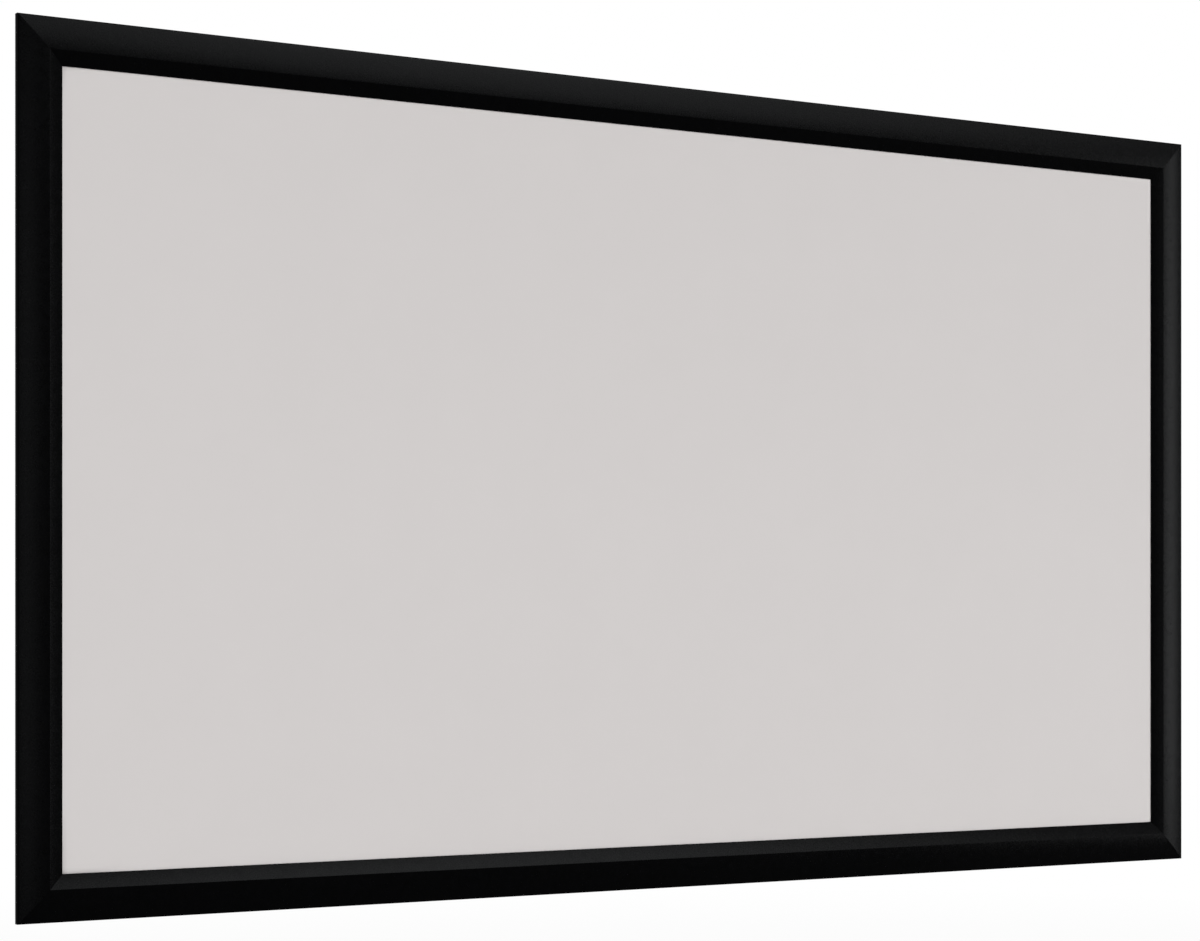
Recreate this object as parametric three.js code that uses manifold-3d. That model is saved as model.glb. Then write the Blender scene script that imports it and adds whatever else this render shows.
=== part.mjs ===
// Fixed frame projection screen: mitred black moulding around a stretched projection surface.
// Millimetres, +Z up. The picture faces -Y, the wall is at +Y, and the origin is the middle of
// the frame's box. The moulding is a hollow extrusion with a bowed face, a ridge and an inner
// bevel. Behind the bevel is an open channel. In it, springs pull on rods in the sheet's hems
// and hold the sheet flat against the back of the bevel's lip.
import * as THREE from 'three';
import { mergeVertices } from 'three/addons/utils/BufferGeometryUtils.js';
import Module from 'manifold-3d';

const wasm = await Module();
wasm.setup();

// Driving dimensions.
const PICTURE_WIDTH = 2400;
const PICTURE_HEIGHT = 1350;
const RAIL_WIDTH = 80;
const GAP = 0.3;

// Moulding section. Levels are heights above the frame's back, towards the viewer.
const FRAME_DEPTH = 32;
const FACE_WIDTH = 55;
const FACE_DROP = 4;
const BEVEL_DROP = 9.5;
const LIP_THICKNESS = 1.5;
const LIP_LAND = 4;
const LIP_HEEL = 1.6;
const OUTER_WALL_DEPTH = 12;
const EDGE_RADIUS = 2;
const WALL = 1.8;
const BOX_INSET = 8;
const BOX_WIDTH = 24;
const CATCH_REACH = 6;
const CATCH_LEVEL = 6.5;
const CATCH_HEIGHT = 5.5;
const MITRE_GAP = 0.3;

// Projection surface and what tensions it.
const SHEET_THICKNESS = 0.5;
const ROD_DIAMETER = 5;
const ROD_FROM_EDGE = 12;
const ROD_SHOWS = 4;
const HEM_APEX = 9.5;
const HEM_WELD = 9;
const HEM_FROM_CORNER = 10;
const SHEET_MARGIN = 4;
const NOTCH_WIDTH = 14;
const NOTCH_DEPTH = 5.5;
const SPRINGS_ACROSS = 10;
const SPRINGS_UP = 6;
const SPRING_DIAMETER = 6;
const SPRING_WIRE = 1.2;
const SPRING_BARREL = 17;
const SPRING_NECK = 4;
const LOOP_ENTRY = Math.PI / 4;
const LOOP_SWEEP = (4 / 3) * Math.PI;

// Corner joints.
const BRACKET_THICKNESS = 5;
const BRACKET_LEG = 90;
const SCREW_DIAMETER = 5;
const SCREW_LENGTH = 6;
const SCREW_SOCKET = 2.5;
const SCREW_SOCKET_DEPTH = 2.6;
const SCREW_SINK = 0.4;
const SCREW_FROM_CORNER = 72;

// Support bar behind the sheet.
const BAR_WIDTH = 30;
const BAR_DEPTH = 8;
const BAR_WALL = 1.2;
const BAR_LEVEL = 3;
const CLIP_PLUG = 24;
const CLIP_WALL = 2;

// Wall brackets.
const PLATE_THICKNESS = 2;
const PLATE_WIDTH = 60;
const PLATE_HEIGHT = 58;
const PLATE_HOLE = 5;
const PLATE_HOLE_SPACING = 30;
const HOOK_CLEARANCE = 1;
const WALL_BRACKET_PITCHES = 3;

// Facets of round shapes.
const ROUND_SIDES = 10;
const WIRE_SIDES = 5;
const HEX_SIDES = 6;
const FACE_FACETS = 6;
const EDGE_FACETS = 3;
const LOOP_STEPS = 9;
const HOOK_STEPS = 6;

// Sizes that follow from the driving dimensions.
const overallWidth = PICTURE_WIDTH + 2 * RAIL_WIDTH;
const overallHeight = PICTURE_HEIGHT + 2 * RAIL_WIDTH;
const backY = FRAME_DEPTH / 2;
const edgeLevel = FRAME_DEPTH - FACE_DROP;
const stepLevel = edgeLevel - OUTER_WALL_DEPTH;
const bevelWidth = RAIL_WIDTH - FACE_WIDTH;
const bevelSlope = BEVEL_DROP / bevelWidth;
const lipTop = FRAME_DEPTH - BEVEL_DROP;
const lipUnder = lipTop - LIP_THICKNESS;
const ribEdge = BOX_INSET + BOX_WIDTH;
const catchEdge = ribEdge + CATCH_REACH;
const catchTop = CATCH_LEVEL + CATCH_HEIGHT;
const catchFloor = CATCH_LEVEL + WALL;
const faceRadius = (FACE_WIDTH ** 2 + FACE_DROP ** 2) / (2 * FACE_DROP);
const faceCentre = new THREE.Vector2(FACE_WIDTH, FRAME_DEPTH - faceRadius);
const sheetFront = lipUnder - GAP;
const sheetBack = sheetFront - SHEET_THICKNESS;
const rodRadius = ROD_DIAMETER / 2;
const rodIn = RAIL_WIDTH - ROD_FROM_EDGE;
const rodLevel = sheetBack - GAP - rodRadius;
const wireRadius = SPRING_WIRE / 2;

// Colours, as the finished object has them.
const finishes = {
  velvet: { color: 0x101012, roughness: 0.95, metalness: 0.0 },
  screen: { color: 0xd2cecd, roughness: 0.9, metalness: 0.0 },
  fibre: { color: 0xd9d4c4, roughness: 0.55, metalness: 0.0 },
  spring: { color: 0xb8babc, roughness: 0.3, metalness: 1.0 },
  zinc: { color: 0x9fa3a6, roughness: 0.45, metalness: 1.0 },
  darkScrew: { color: 0x26272a, roughness: 0.5, metalness: 1.0 },
  bar: { color: 0x1b1c1e, roughness: 0.6, metalness: 0.6 },
  clip: { color: 0x17181a, roughness: 0.7, metalness: 0.0 },
};

function meshOf(name, geometry, finish) {
  const mesh = new THREE.Mesh(geometry, new THREE.MeshStandardMaterial(finishes[finish]));
  mesh.name = name;
  return mesh;
}

// A closed geometry as a solid that can be cut and joined.
function solidOf(geometry) {
  const bare = geometry.clone();
  bare.deleteAttribute('normal');
  bare.deleteAttribute('uv');
  const merged = mergeVertices(bare, 1e-4);
  return new wasm.Manifold(new wasm.Mesh({
    numProp: 3,
    vertProperties: new Float32Array(merged.attributes.position.array),
    triVerts: new Uint32Array(merged.index.array),
  }));
}

function geometryOf(solid) {
  const mesh = solid.getMesh();
  const geometry = new THREE.BufferGeometry();
  geometry.setAttribute('position', new THREE.BufferAttribute(mesh.vertProperties, 3));
  geometry.setIndex(new THREE.BufferAttribute(mesh.triVerts, 1));
  geometry.computeVertexNormals();
  return geometry;
}

// Extrudes an outline, turned anticlockwise so that a hollow in it stays one.
function extruded(outline, depth, hollow) {
  const turned = THREE.ShapeUtils.isClockWise(outline) ? [...outline].reverse() : outline;
  const shape = new THREE.Shape(turned);
  if (hollow) {
    shape.holes.push(new THREE.Path(hollow));
  }
  return new THREE.ExtrudeGeometry(shape, { depth, bevelEnabled: false, steps: 1 });
}

// Section coordinates: "inward" runs from the frame's outer edge to the picture, and "level"
// from the back to the viewer. A section point becomes Y from its level and Z from its inward.
const sectionPoint = (inward, level) => new THREE.Vector2(-level, inward);
const lengthwise = new THREE.Matrix4().makeBasis(
  new THREE.Vector3(0, 1, 0),
  new THREE.Vector3(0, 0, 1),
  new THREE.Vector3(1, 0, 0),
);

// Extrudes a section along X, centred on x = middle, for the rail at the bottom of the frame.
function alongX(points, length, middle, outerEdge, hollow) {
  const section = (list) => list.map(([inward, level]) => sectionPoint(inward, level));
  const geometry = extruded(section(points), length, hollow && section(hollow));
  geometry.translate(0, 0, middle - length / 2);
  geometry.applyMatrix4(lengthwise);
  geometry.translate(0, backY, -outerEdge);
  return geometry;
}

// A flat outline in X and Z, given thickness between two levels.
function plate(points, lowLevel, highLevel) {
  const outline = points.map(([x, z]) => new THREE.Vector2(x, z));
  const geometry = extruded(outline, highLevel - lowLevel);
  geometry.rotateX(Math.PI / 2);
  geometry.translate(0, backY - lowLevel, 0);
  return geometry;
}

// A round bar along Y between two levels, at a place in X and Z.
function studAt(x, z, radius, lowLevel, highLevel, sides) {
  const geometry = new THREE.CylinderGeometry(radius, radius, highLevel - lowLevel, sides);
  geometry.translate(x, backY - (lowLevel + highLevel) / 2, z);
  return geometry;
}

// The bottom side turned onto each side of the frame by whole quarter turns about Y.
const quarterTurns = [
  new THREE.Matrix4(),
  new THREE.Matrix4().set(0, 0, 1, 0, 0, 1, 0, 0, -1, 0, 0, 0, 0, 0, 0, 1),
  new THREE.Matrix4().set(-1, 0, 0, 0, 0, 1, 0, 0, 0, 0, -1, 0, 0, 0, 0, 1),
  new THREE.Matrix4().set(0, 0, -1, 0, 0, 1, 0, 0, 1, 0, 0, 0, 0, 0, 0, 1),
];
const sides = [
  { name: 'bottom', rail: 'bottom_rail', turn: 0, across: true },
  { name: 'left', rail: 'left_stile', turn: 1, across: false },
  { name: 'top', rail: 'top_rail', turn: 2, across: true },
  { name: 'right', rail: 'right_stile', turn: 3, across: false },
].map((side) => ({
  ...side,
  length: side.across ? overallWidth : overallHeight,
  outerEdge: (side.across ? overallHeight : overallWidth) / 2,
  springs: side.across ? SPRINGS_ACROSS : SPRINGS_UP,
  pitch: side.across ? PICTURE_WIDTH / SPRINGS_ACROSS : PICTURE_HEIGHT / SPRINGS_UP,
}));

// Moulding: points of the bowed face at a depth below its surface, from one place to another.
function facePoints(depth, fromInward, toInward) {
  const radius = faceRadius - depth;
  const start = Math.asin((FACE_WIDTH - fromInward) / radius);
  const end = Math.asin((FACE_WIDTH - toInward) / radius);
  const points = [];
  for (let i = 0; i <= FACE_FACETS; i += 1) {
    const angle = start + ((end - start) * i) / FACE_FACETS;
    points.push([
      faceCentre.x - radius * Math.sin(angle),
      faceCentre.y + radius * Math.cos(angle),
    ]);
  }
  return points;
}

function mouldingOutline() {
  const edgeReach = faceRadius - EDGE_RADIUS;
  const tangent = Math.asin((FACE_WIDTH - EDGE_RADIUS) / edgeReach);
  const edgeCentreLevel = faceCentre.y + edgeReach * Math.cos(tangent);
  const points = [[0, stepLevel]];
  for (let i = 0; i < EDGE_FACETS; i += 1) {
    const angle = Math.PI / 2 + ((tangent - Math.PI / 2) * i) / EDGE_FACETS;
    points.push([
      EDGE_RADIUS - EDGE_RADIUS * Math.sin(angle),
      edgeCentreLevel + EDGE_RADIUS * Math.cos(angle),
    ]);
  }
  const faceStart = FACE_WIDTH - faceRadius * Math.sin(tangent);
  points.push(...facePoints(0, faceStart, FACE_WIDTH));
  points.push([RAIL_WIDTH, lipTop], [RAIL_WIDTH, lipUnder]);
  const land = RAIL_WIDTH - LIP_LAND;
  const underBevel = (inward) =>
    FRAME_DEPTH - bevelSlope * (inward - FACE_WIDTH) - WALL * Math.hypot(1, bevelSlope);
  points.push([land, lipUnder], [land - LIP_HEEL, underBevel(land - LIP_HEEL)]);
  const ridgeMitre = WALL * Math.tan(Math.atan(bevelSlope) / 2);
  points.push([FACE_WIDTH - ridgeMitre, FRAME_DEPTH - WALL]);
  points.push(...facePoints(WALL, FACE_WIDTH - ridgeMitre, ribEdge).slice(1));
  points.push([ribEdge, catchFloor], [catchEdge - WALL, catchFloor], [catchEdge - WALL, catchTop]);
  points.push([catchEdge, catchTop], [catchEdge, CATCH_LEVEL], [ribEdge, CATCH_LEVEL]);
  points.push([ribEdge, 0], [BOX_INSET, 0], [BOX_INSET, stepLevel]);
  return points;
}

function mouldingHollow() {
  const points = [
    [BOX_INSET + WALL, WALL],
    [BOX_INSET + WALL, stepLevel + WALL],
    [WALL, stepLevel + WALL],
  ];
  points.push(...facePoints(WALL, WALL, ribEdge - WALL));
  points.push([ribEdge - WALL, WALL]);
  return points;
}

// The extrusion's ends are mitred: each end point moves back by its own distance inward.
function rail(side) {
  const geometry = alongX(mouldingOutline(), side.length, 0, side.outerEdge, mouldingHollow());
  const position = geometry.attributes.position;
  for (let i = 0; i < position.count; i += 1) {
    const inward = position.getZ(i) + side.outerEdge;
    const end = Math.sign(position.getX(i));
    position.setX(i, end * (side.length / 2 - inward - MITRE_GAP / Math.SQRT2));
  }
  const holeRadius = SCREW_DIAMETER / 2 + GAP;
  const solid = [-1, 1].reduce((cut, end) => {
    const x = end * (side.length / 2 - SCREW_FROM_CORNER);
    const hole = studAt(x, screwLine - side.outerEdge, holeRadius, -WALL, 2 * WALL, ROUND_SIDES);
    return cut.subtract(solidOf(hole));
  }, solidOf(geometry));
  return geometryOf(solid).applyMatrix4(quarterTurns[side.turn]);
}

// Corner joints: an angle in the box of both rails, fixed by a grub screw in each leg.
const bracketOuter = BOX_INSET + WALL + GAP;
const bracketInner = ribEdge - WALL - GAP;
const bracketLevel = WALL + GAP;
const screwLine = (bracketOuter + bracketInner) / 2;

function cornerBracket(right, up) {
  const place = (x, z) => [
    right * (overallWidth / 2 - x),
    up * (overallHeight / 2 - z),
  ];
  const end = bracketOuter + BRACKET_LEG;
  const outline = [
    place(bracketOuter, bracketOuter),
    place(end, bracketOuter),
    place(end, bracketInner),
    place(bracketInner, bracketInner),
    place(bracketInner, end),
    place(bracketOuter, end),
  ];
  const top = bracketLevel + BRACKET_THICKNESS;
  const holeRadius = SCREW_DIAMETER / 2 + GAP;
  const holes = [place(SCREW_FROM_CORNER, screwLine), place(screwLine, SCREW_FROM_CORNER)];
  const solid = holes.reduce(
    (cut, [x, z]) => cut.subtract(
      solidOf(studAt(x, z, holeRadius, bracketLevel - WALL, top + WALL, ROUND_SIDES)),
    ),
    solidOf(plate(outline, bracketLevel, top)),
  );
  return geometryOf(solid);
}

function grubScrew(x, z) {
  const radius = SCREW_DIAMETER / 2;
  const body = studAt(x, z, radius, SCREW_SINK, SCREW_SINK + SCREW_LENGTH, ROUND_SIDES);
  const socketRadius = SCREW_SOCKET / 2 / Math.cos(Math.PI / 6);
  const bottom = SCREW_SINK + SCREW_SOCKET_DEPTH;
  const socket = studAt(x, z, socketRadius, SCREW_SINK - 1, bottom, HEX_SIDES);
  return geometryOf(solidOf(body).subtract(solidOf(socket)));
}

// Projection surface: a flat sheet, its edge wrapped round each rod and welded to its back.
function hemSection() {
  const innerRadius = rodRadius + GAP;
  const apexHalf = Math.atan2(innerRadius, HEM_APEX);
  const wrap = Math.PI + 2 * apexHalf;
  const sweep = (radius) => Array.from({ length: ROUND_SIDES + 1 }, (_, i) => {
    const angle = Math.PI / 2 + (wrap * i) / ROUND_SIDES;
    return [rodIn + radius * Math.cos(angle), rodLevel + radius * Math.sin(angle)];
  });
  const outer = sweep(innerRadius + SHEET_THICKNESS);
  const [lastIn, lastLevel] = outer.at(-1);
  const layerLevel = sheetBack - SHEET_THICKNESS;
  const meets = lastIn + (layerLevel - lastLevel) / Math.tan(2 * apexHalf);
  const apexIn = rodIn + HEM_APEX;
  const weldEnd = apexIn + HEM_WELD;
  return {
    outline: [[weldEnd, sheetFront], ...outer, [meets, layerLevel], [weldEnd, layerLevel]],
    hollow: [...sweep(innerRadius), [apexIn, sheetBack]],
  };
}

function projectionSurface() {
  const halfW = overallWidth / 2;
  const halfH = overallHeight / 2;
  const hemEnd = RAIL_WIDTH + HEM_FROM_CORNER;
  const body = RAIL_WIDTH - SHEET_MARGIN;
  const corner = [[hemEnd, rodIn], [hemEnd, body], [body, body], [body, hemEnd], [rodIn, hemEnd]];
  const back = [...corner].reverse();
  const at = (list, right, up) => list.map(([x, z]) => [right * (halfW - x), up * (halfH - z)]);
  const outline = [
    ...at(corner, 1, 1),
    ...at(back, 1, -1),
    ...at(corner, -1, -1),
    ...at(back, -1, 1),
  ];
  let solid = solidOf(plate(outline, sheetBack, sheetFront));
  const { outline: hem, hollow } = hemSection();
  for (const side of sides) {
    const turn = quarterTurns[side.turn];
    const length = side.length - 2 * hemEnd;
    const edge = alongX(hem, length, 0, side.outerEdge, hollow).applyMatrix4(turn);
    solid = solid.add(solidOf(edge));
    for (const x of springPlaces(side)) {
      const notch = [
        [rodIn - ROD_DIAMETER, rodLevel - ROD_DIAMETER],
        [rodIn + NOTCH_DEPTH, rodLevel - ROD_DIAMETER],
        [rodIn + NOTCH_DEPTH, rodLevel + ROD_DIAMETER],
        [rodIn - ROD_DIAMETER, rodLevel + ROD_DIAMETER],
      ];
      const cutter = alongX(notch, NOTCH_WIDTH, x, side.outerEdge).applyMatrix4(turn);
      solid = solid.subtract(solidOf(cutter));
    }
  }
  return geometryOf(solid);
}

function tensionRod(side) {
  const rodEnd = RAIL_WIDTH + HEM_FROM_CORNER - ROD_SHOWS;
  const points = [];
  for (let i = 0; i < ROUND_SIDES; i += 1) {
    const angle = (2 * Math.PI * i) / ROUND_SIDES;
    points.push([rodIn + rodRadius * Math.cos(angle), rodLevel + rodRadius * Math.sin(angle)]);
  }
  const geometry = alongX(points, side.length - 2 * rodEnd, 0, side.outerEdge);
  return geometry.applyMatrix4(quarterTurns[side.turn]);
}

// Springs: an open loop round the rod, a close-wound barrel and a hook over the catch lip.
const hookLevel = catchTop + GAP + wireRadius;
const hookIn = catchEdge - WALL / 2;
const hookDown = catchEdge - WALL - GAP - wireRadius;
const hookCorner = (GAP + wireRadius) * Math.SQRT1_2;
const loopRadius = rodRadius + GAP + wireRadius;

function springPlaces(side) {
  return Array.from({ length: side.springs }, (_, i) => (i + 0.5 - side.springs / 2) * side.pitch);
}

// Points are in section coordinates. The bottom spring lies in the plane x = place.
function wireAlong(points, steps) {
  const path = new THREE.CatmullRomCurve3(
    points.map(([inward, level]) => new THREE.Vector3(0, -level, inward)),
    false,
    'centripetal',
  );
  const ring = Array.from({ length: WIRE_SIDES }, (_, i) => {
    const angle = (2 * Math.PI * i) / WIRE_SIDES;
    return new THREE.Vector2(wireRadius * Math.cos(angle), wireRadius * Math.sin(angle));
  });
  return new THREE.ExtrudeGeometry(new THREE.Shape(ring), {
    steps,
    extrudePath: path,
    bevelEnabled: false,
  });
}

function springShape() {
  const rodCentre = new THREE.Vector2(rodIn, rodLevel);
  const hookTop = new THREE.Vector2(hookIn, hookLevel);
  const along = hookTop.clone().sub(rodCentre).normalize();
  const at = (distance) => rodCentre.clone().addScaledVector(along, distance);
  const barrelStart = loopRadius + SPRING_NECK;
  const barrelEnd = barrelStart + SPRING_BARREL;
  const inside = SPRING_WIRE;
  const entry = along.angle() - LOOP_ENTRY;
  const loop = [at(barrelStart + inside).toArray(), at(barrelStart - inside).toArray()];
  for (let i = 0; i < LOOP_STEPS; i += 1) {
    const angle = entry - (LOOP_SWEEP * i) / (LOOP_STEPS - 1);
    loop.push([
      rodCentre.x + loopRadius * Math.cos(angle),
      rodCentre.y + loopRadius * Math.sin(angle),
    ]);
  }
  const hook = [
    at(barrelEnd - inside).toArray(),
    at(barrelEnd + inside).toArray(),
    [hookIn, hookLevel],
    [catchEdge - WALL - hookCorner, catchTop + hookCorner],
    [hookDown, catchTop - wireRadius],
    [hookDown, catchFloor + GAP + SPRING_WIRE],
  ];
  const barrel = new THREE.CylinderGeometry(
    SPRING_DIAMETER / 2,
    SPRING_DIAMETER / 2,
    SPRING_BARREL,
    ROUND_SIDES,
  );
  const axis = new THREE.Vector3(0, -along.y, along.x);
  barrel.applyQuaternion(new THREE.Quaternion().setFromUnitVectors(THREE.Object3D.DEFAULT_UP, axis));
  const middle = at((barrelStart + barrelEnd) / 2);
  barrel.translate(0, -middle.y, middle.x);
  const hooks = solidOf(wireAlong(loop, LOOP_STEPS)).add(solidOf(wireAlong(hook, HOOK_STEPS)));
  return solidOf(barrel).add(hooks);
}

const springSolid = springShape();

function spring(side, place) {
  const geometry = geometryOf(springSolid);
  geometry.translate(place, backY, -side.outerEdge);
  return geometry.applyMatrix4(quarterTurns[side.turn]);
}

// Support bar: a flat tube from rail to rail, with a plug in each end that hooks on the catch.
const barStart = catchEdge + GAP + CLIP_WALL + GAP;

function supportBar() {
  const length = overallHeight - 2 * barStart;
  const box = (inset) => [
    [-BAR_WIDTH / 2 + inset, -BAR_LEVEL - inset],
    [BAR_WIDTH / 2 - inset, -BAR_LEVEL - inset],
    [BAR_WIDTH / 2 - inset, -BAR_LEVEL - BAR_DEPTH + inset],
    [-BAR_WIDTH / 2 + inset, -BAR_LEVEL - BAR_DEPTH + inset],
  ].map(([x, y]) => new THREE.Vector2(x, y));
  const geometry = extruded(box(0), length, box(BAR_WALL));
  geometry.translate(0, backY, -length / 2);
  return geometry;
}

function barClip(side) {
  const head = catchEdge + GAP;
  const tip = catchEdge - WALL - GAP;
  const over = catchTop + GAP;
  const plugLow = BAR_LEVEL + BAR_WALL + GAP;
  const plugHigh = BAR_LEVEL + BAR_DEPTH - BAR_WALL - GAP;
  const tipThickness = Math.min(CLIP_WALL, tip - ribEdge - GAP);
  const section = [
    [head, BAR_LEVEL],
    [head + CLIP_WALL, BAR_LEVEL],
    [head + CLIP_WALL, plugLow],
    [barStart + CLIP_PLUG, plugLow],
    [barStart + CLIP_PLUG, plugHigh],
    [head + CLIP_WALL, plugHigh],
    [head + CLIP_WALL, over + CLIP_WALL],
    [tip - tipThickness, over + CLIP_WALL],
    [tip - tipThickness, catchFloor + GAP],
    [tip, catchFloor + GAP],
    [tip, over],
    [head, over],
  ];
  const width = BAR_WIDTH - 2 * (BAR_WALL + GAP);
  return alongX(section, width, 0, side.outerEdge).applyMatrix4(quarterTurns[side.turn]);
}

// Wall brackets: a plate on the wall whose folded edge hooks over the catch lip.
const hookUnder = catchEdge + GAP;
const plateEnd = hookUnder + PLATE_HEIGHT;

function wallBracket(side, place) {
  const over = catchTop + GAP;
  const section = [
    [hookUnder, 0],
    [plateEnd, 0],
    [plateEnd, PLATE_THICKNESS],
    [hookUnder + PLATE_THICKNESS, PLATE_THICKNESS],
    [hookUnder + PLATE_THICKNESS, over + PLATE_THICKNESS],
    [ribEdge + HOOK_CLEARANCE, over + PLATE_THICKNESS],
    [ribEdge + HOOK_CLEARANCE, over],
    [hookUnder, over],
  ];
  const bent = solidOf(alongX(section, PLATE_WIDTH, place, side.outerEdge));
  const holeLine = (hookUnder + PLATE_THICKNESS + plateEnd) / 2 - side.outerEdge;
  const drilled = [-1, 1].reduce((cut, end) => {
    const x = place + (end * PLATE_HOLE_SPACING) / 2;
    const hole = studAt(x, holeLine, PLATE_HOLE / 2, -1, PLATE_THICKNESS + 1, ROUND_SIDES);
    return cut.subtract(solidOf(hole));
  }, bent);
  return geometryOf(drilled).applyMatrix4(quarterTurns[side.turn]);
}

// The whole screen.
const group = new THREE.Group();

for (const side of sides) {
  group.add(meshOf(side.rail, rail(side), 'velvet'));
  group.add(meshOf(`${side.name}_tension_rod`, tensionRod(side), 'fibre'));
  springPlaces(side).forEach((place, i) => {
    group.add(meshOf(`${side.name}_spring_${i + 1}`, spring(side, place), 'spring'));
  });
}

for (const [up, upName] of [[1, 'top'], [-1, 'bottom']]) {
  for (const [right, rightName] of [[-1, 'left'], [1, 'right']]) {
    const corner = `${upName}_${rightName}`;
    group.add(meshOf(`corner_bracket_${corner}`, cornerBracket(right, up), 'zinc'));
    const x = right * (overallWidth / 2);
    const z = up * (overallHeight / 2);
    const inRail = grubScrew(x - right * SCREW_FROM_CORNER, z - up * screwLine);
    const inStile = grubScrew(x - right * screwLine, z - up * SCREW_FROM_CORNER);
    group.add(meshOf(`corner_screw_${corner}_rail`, inRail, 'darkScrew'));
    group.add(meshOf(`corner_screw_${corner}_stile`, inStile, 'darkScrew'));
  }
}

group.add(meshOf('screen_surface', projectionSurface(), 'screen'));
group.add(meshOf('support_bar', supportBar(), 'bar'));

for (const side of sides.filter(({ across }) => across)) {
  group.add(meshOf(`support_bar_clip_${side.name}`, barClip(side), 'clip'));
  for (const [end, endName] of [[-1, 'left'], [1, 'right']]) {
    const towards = side.name === 'bottom' ? end : -end;
    const place = towards * WALL_BRACKET_PITCHES * side.pitch;
    group.add(meshOf(`wall_bracket_${side.name}_${endName}`, wallBracket(side, place), 'zinc'));
  }
}

export default group;
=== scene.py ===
# Looks for a fixed frame projection screen: flocked moulding, stretched sheet and fittings.
# Metres, +Z up. The picture faces -Y and the wall is at +Y.
import math
from collections import namedtuple

import bmesh
import bpy
from mathutils import Matrix, Vector
from mathutils.geometry import tessellate_polygon


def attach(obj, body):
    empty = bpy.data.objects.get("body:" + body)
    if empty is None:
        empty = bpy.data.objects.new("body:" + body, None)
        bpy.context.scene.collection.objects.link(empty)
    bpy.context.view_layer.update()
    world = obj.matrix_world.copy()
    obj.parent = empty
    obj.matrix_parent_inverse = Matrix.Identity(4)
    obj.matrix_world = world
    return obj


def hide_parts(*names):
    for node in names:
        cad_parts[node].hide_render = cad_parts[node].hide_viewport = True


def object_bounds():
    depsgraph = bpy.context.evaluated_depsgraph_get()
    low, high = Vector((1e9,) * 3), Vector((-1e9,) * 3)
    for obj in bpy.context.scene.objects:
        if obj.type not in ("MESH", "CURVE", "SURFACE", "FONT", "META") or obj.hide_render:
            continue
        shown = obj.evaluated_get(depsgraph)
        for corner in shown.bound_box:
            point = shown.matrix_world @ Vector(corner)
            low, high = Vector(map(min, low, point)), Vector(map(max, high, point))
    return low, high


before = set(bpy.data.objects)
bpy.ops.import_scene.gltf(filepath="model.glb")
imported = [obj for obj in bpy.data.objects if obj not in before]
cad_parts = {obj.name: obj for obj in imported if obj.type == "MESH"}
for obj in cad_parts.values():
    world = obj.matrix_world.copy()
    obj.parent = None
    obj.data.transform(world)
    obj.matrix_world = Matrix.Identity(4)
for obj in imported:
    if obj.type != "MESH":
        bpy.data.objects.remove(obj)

cad_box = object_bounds()
MM = 0.001

# Moulding section in millimetres. "Inward" runs from the frame's outer edge to the picture, and
# "level" from its back to the viewer.
RAIL_WIDTH = 80
FACE_WIDTH = 55
FACE_DROP = 4
BEVEL_DROP = 9.5
LIP_THICKNESS = 1.5
LIP_LAND = 4
LIP_HEEL = 1.6
LIP_FRONT_RADIUS = 0.5
LIP_BACK_RADIUS = 0.4
OUTER_WALL_DEPTH = 12
EDGE_RADIUS = 2
RIDGE_RADIUS = 2.5
WALL = 1.8
BOX_INSET = 8
BOX_WIDTH = 24
CATCH_REACH = 6
CATCH_LEVEL = 6.5
CATCH_HEIGHT = 5.5
MITRE_SEAM = 0.05
FIT_GAP = 0.3
EXTRUSION_CORNER = 0.3
CUT_EDGE = 0.06
DRILL_PAST = 1

# Projection surface, whose hems fold round the rods and are welded to its back. HEM_APEX is how
# far from a rod's axis the fold's two sides would meet, and LAYER_PITCH is how far apart the
# layers lie, in thicknesses.
SHEET_THICKNESS = 0.5
SHEET_MARGIN = 4
LAYER_PITCH = 1.04
ROD_DIAMETER = 5
ROD_CHAMFER = 0.5
ROD_FROM_EDGE = 12
ROD_SHOWS = 4
HEM_APEX = 9.5
HEM_WELD = 9
HEM_FROM_CORNER = 10
HEM_CREASE_RADIUS = 3
NOTCH_WIDTH = 14
NOTCH_DEPTH = 5.5
NOTCH_RADIUS = 3

# Springs. The wire's loop goes LOOP_SWEEP round the rod and ends LOOP_ENTRY short of the spring's
# line. HOOK_OUT, HOOK_RISE and HOOK_FALL are shares of the hook's clearance at the catch's corner.
SPRINGS_ACROSS = 10
SPRINGS_UP = 6
SPRING_DIAMETER = 6
SPRING_WIRE = 1.2
SPRING_BARREL = 17
SPRING_NECK = 4
SPRING_TURNS = 11
SPRING_RAMP_TURNS = 0.5
LOOP_ENTRY = math.pi / 4
LOOP_SWEEP = 4 / 3 * math.pi
LOOP_LEAD = 1.5
HOOK_LEAD = 1
HOOK_OUT = 0.4
HOOK_RISE = 1.25
HOOK_FALL = 0.5
HOOK_BULGE = 0.02

# Set screws.
SCREW_DIAMETER = 5
SCREW_LENGTH = 6
SCREW_CHAMFER = 0.45
SCREW_SOCKET = 2.5
SCREW_SOCKET_DEPTH = 2.6
SCREW_SOCKET_TIP = 0.3
SCREW_SINK = 0.4
SCREW_FROM_CORNER = 72
THREAD_PITCH = 0.8
THREAD_DEPTH = 0.3

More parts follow.
